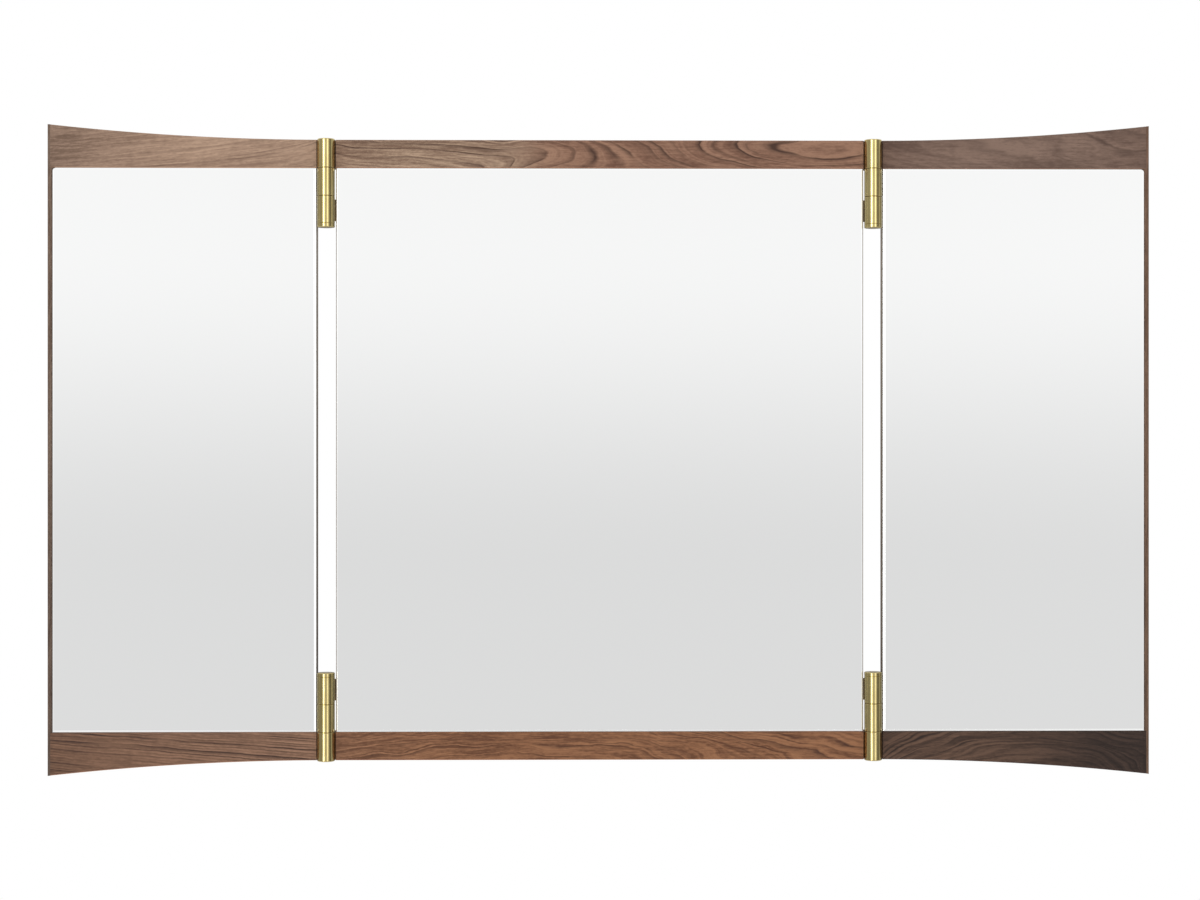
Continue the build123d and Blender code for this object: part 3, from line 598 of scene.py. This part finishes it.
# Plywood boards: a pale veneer whose grain stands upright, and plies that show at the edges
def make_plywood():
    """The ring count is rings_aside times the square root of w * w + arch_w * arch_w, less rings_down times u. Here
    w is the distance from the mirror's middle line and u the distance down the boards, in metres. This gives nested
    arches in the middle and straight lines at the sides. At the edges light and dark plies, ply_thick metres
    each, follow one another through the board."""
    rings_aside, rings_down, arch_w, ply_thick = 50.0, 4.5, 0.04, 0.00135
    material, nodes, place = new_material("birch plywood")
    point = place["Object"]
    upright = nodes.add("ShaderNodeMapping", {"Vector": point, "Rotation": (0.0, math.radians(90), 0.0)},
                        vector_type="TEXTURE").outputs[0]
    moved = nodes.split(use(nodes, "grain wander", Point=upright, Reach=0.03, Length=0.5, Ripple=0.0015)["Point"])
    aside = nodes.math("SQRT", nodes.math("ADD", nodes.math("MULTIPLY", moved[2], moved[2]), arch_w ** 2))
    rings = nodes.math("ADD", nodes.math("MULTIPLY", aside, rings_aside),
                       nodes.math("MULTIPLY", moved[0], -rings_down))
    veneer = use(nodes, "wood grain", Point=upright, Rings=rings, Light=tone(222, 196, 160),
                 Middle=tone(204, 174, 136), Dark=tone(172, 136, 98), Lines=0.5, Bands=0.5, Fibres=0.4,
                 Pores=0.25, Clouds=0.4)
    ply = nodes.math("FRACT", nodes.math("DIVIDE", nodes.split(point)[1], 2 * ply_thick))
    ply = nodes.math("GREATER_THAN", ply, 0.5)
    fray = nodes.lumps(point, (90.0, 700.0, 90.0))
    edge_tone = nodes.blend(ply, tone(206, 176, 138), tone(158, 122, 88))
    edge_tone = nodes.blend(nodes.ramp(fray, 0.4, 0.7, 0.0, 0.4), edge_tone, tone(120, 88, 62))
    face = nodes.ramp(nodes.math("ABSOLUTE", nodes.split(place["Normal"])[1]), 0.4, 0.6)
    colour = nodes.blend(face, edge_tone, veneer["Color"])
    surface(nodes, height=veneer["Height"], depth=0.0001, Base_Color=colour, Roughness=veneer["Roughness"],
            Specular_IOR_Level=0.3)
    return material


dress(make_plywood(), *named("back_board"))


# Wall rail and hanging rail: extruded aluminium with die lines along it
def make_aluminium():
    smooth, lined_more = 0.26, 0.24  # roughness, and what the lines add
    material, nodes, place = new_material("mill aluminium")
    drawn = use(nodes, "drawn lines", Point=place["Object"], Stretch=(6.0, 1600.0, 1600.0))
    marks = use(nodes, "dull marks", Point=place["Object"], Size=0.04)
    colour = nodes.blend(nodes.ramp(drawn["Bands"], 0.3, 0.7), tone(186, 188, 191), tone(234, 235, 236))
    colour = nodes.blend(nodes.math("MULTIPLY", marks["Clouds"], 0.3), colour, tone(178, 181, 184))
    rough = nodes.math("ADD", smooth, nodes.math("MULTIPLY", drawn["Lines"], lined_more))
    surface(nodes, height=drawn["Lines"], depth=0.00002, Base_Color=colour, Metallic=1.0, Roughness=rough)
    return material


dress(make_aluminium(), "wall_rail", "hanging_rail")


def cloudy(nodes, marks, clear, dull):
    """A roughness that goes from clear to dull with the clouds of the dull marks."""
    return nodes.ramp(marks["Clouds"], 0.0, 1.0, clear, dull)


# Screws: bright zinc with a faint yellow and blue cast
def make_zinc():
    material, nodes, place = new_material("zinc plating")
    marks = use(nodes, "dull marks", Point=place["Object"], Size=0.003)
    colour = nodes.blend(marks["Clouds"], tone(206, 208, 204), tone(216, 208, 178))
    colour = nodes.blend(nodes.math("MULTIPLY", marks["Specks"], 0.5), colour, tone(170, 184, 204))
    rough = cloudy(nodes, marks, 0.24, 0.4)
    surface(nodes, height=marks["Specks"], depth=0.00002, Base_Color=colour, Metallic=1.0, Roughness=rough)
    return material


dress(make_zinc(), *named("screws"))


# Hinge pins: ground steel with rings round it
def make_pin_steel():
    smooth, lined_more = 0.18, 0.16  # roughness, and what the rings add
    material, nodes, place = new_material("ground steel")
    drawn = use(nodes, "drawn lines", Point=place["Object"], Stretch=(8.0, 8.0, 2200.0))
    marks = use(nodes, "dull marks", Point=place["Object"], Size=0.01)
    colour = nodes.blend(marks["Clouds"], tone(196, 197, 198), tone(176, 177, 180))
    rough = nodes.math("ADD", smooth, nodes.math("MULTIPLY", drawn["Lines"], lined_more))
    surface(nodes, height=drawn["Lines"], depth=0.00001, Base_Color=colour, Metallic=1.0, Roughness=rough)
    return material


dress(make_pin_steel(), *named("hinge_pin"))


# Washers between the knuckles: dark bronze
def make_bronze():
    material, nodes, place = new_material("dark bronze")
    marks = use(nodes, "dull marks", Point=place["Object"], Size=0.004)
    colour = nodes.blend(marks["Clouds"], tone(96, 74, 46), tone(70, 54, 36))
    rough = cloudy(nodes, marks, 0.4, 0.6)
    surface(nodes, height=marks["Specks"], depth=0.00001, Base_Color=colour, Metallic=1.0, Roughness=rough)
    return material


dress(make_bronze(), *named("hinge_washers"))


# Wall bumpers: moulded black rubber with a bloom of dust
def make_rubber():
    material, nodes, place = new_material("black rubber")
    marks = use(nodes, "dull marks", Point=place["Object"], Size=0.008)
    colour = nodes.blend(nodes.math("MULTIPLY", marks["Clouds"], 0.5), tone(34, 34, 35), tone(58, 57, 56))
    colour = nodes.blend(nodes.math("MULTIPLY", marks["Specks"], 0.4), colour, tone(110, 106, 100))
    rough = cloudy(nodes, marks, 0.62, 0.82)
    surface(nodes, height=marks["Specks"], depth=0.00004, Base_Color=colour, Roughness=rough)
    return material


dress(make_rubber(), *named("wall_bumpers"))


# Mirror tape: off-white closed-cell foam
def make_foam():
    material, nodes, place = new_material("foam tape")
    marks = use(nodes, "dull marks", Point=place["Object"], Size=0.002)
    colour = nodes.blend(marks["Clouds"], tone(232, 231, 226), tone(214, 212, 205))
    rough = cloudy(nodes, marks, 0.7, 0.9)
    surface(nodes, height=marks["Clouds"], depth=0.00008, Base_Color=colour, Roughness=rough)
    return material


dress(make_foam(), *named("mirror_tape"))
